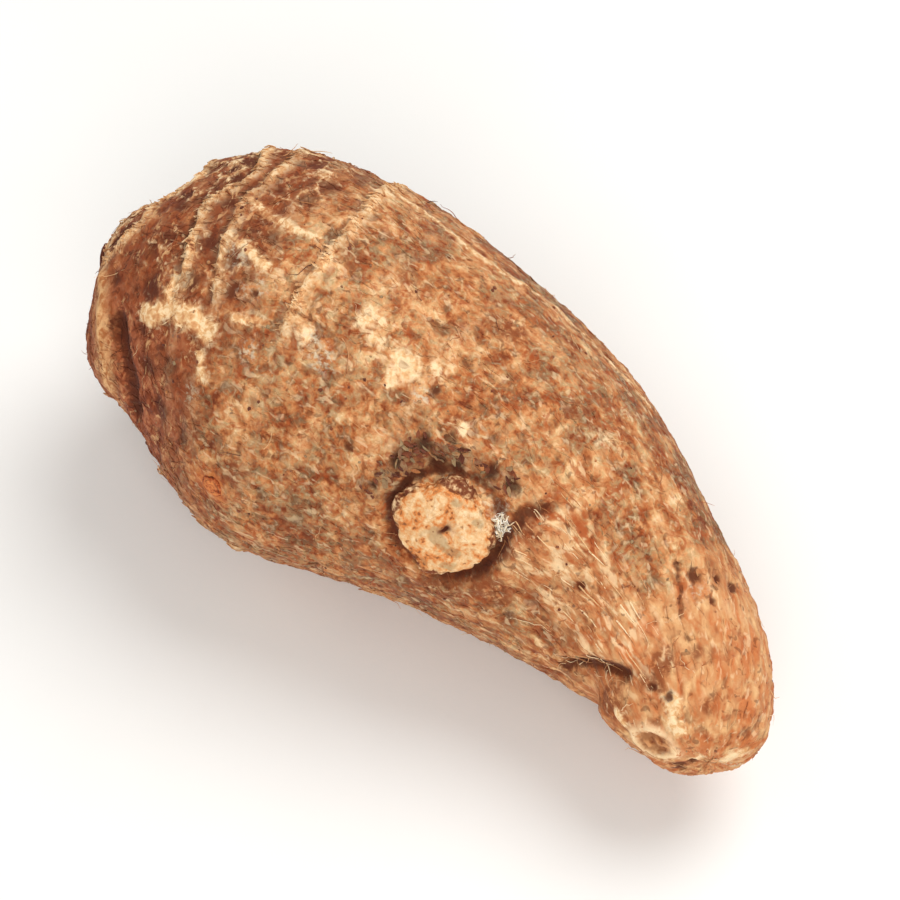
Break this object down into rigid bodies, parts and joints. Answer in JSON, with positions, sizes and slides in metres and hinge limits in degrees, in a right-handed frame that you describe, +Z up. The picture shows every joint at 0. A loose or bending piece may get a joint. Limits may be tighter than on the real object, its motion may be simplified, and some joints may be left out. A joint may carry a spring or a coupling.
{
  "type": "taro root",
  "caption": "Small curved taro root lying on its belly, swollen at its ringed crown and tapering to a short bent neck, with the round stump of a side shoot.",
  "frame": {"origin": "on the surface the root rests on, in the middle of its footprint box", "axes": "+X from the ringed crown to the narrow neck, +Y to the back of its curve, +Z up"},
  "size_m": [0.1246, 0.0595, 0.0585],
  "materials": {
    "skin": "dry brown fibrous skin, mottled tan and dark, matte"
  },
  "bodies": {
    "root": {"taro_corm": "skin"}
  },
  "joints": []
}
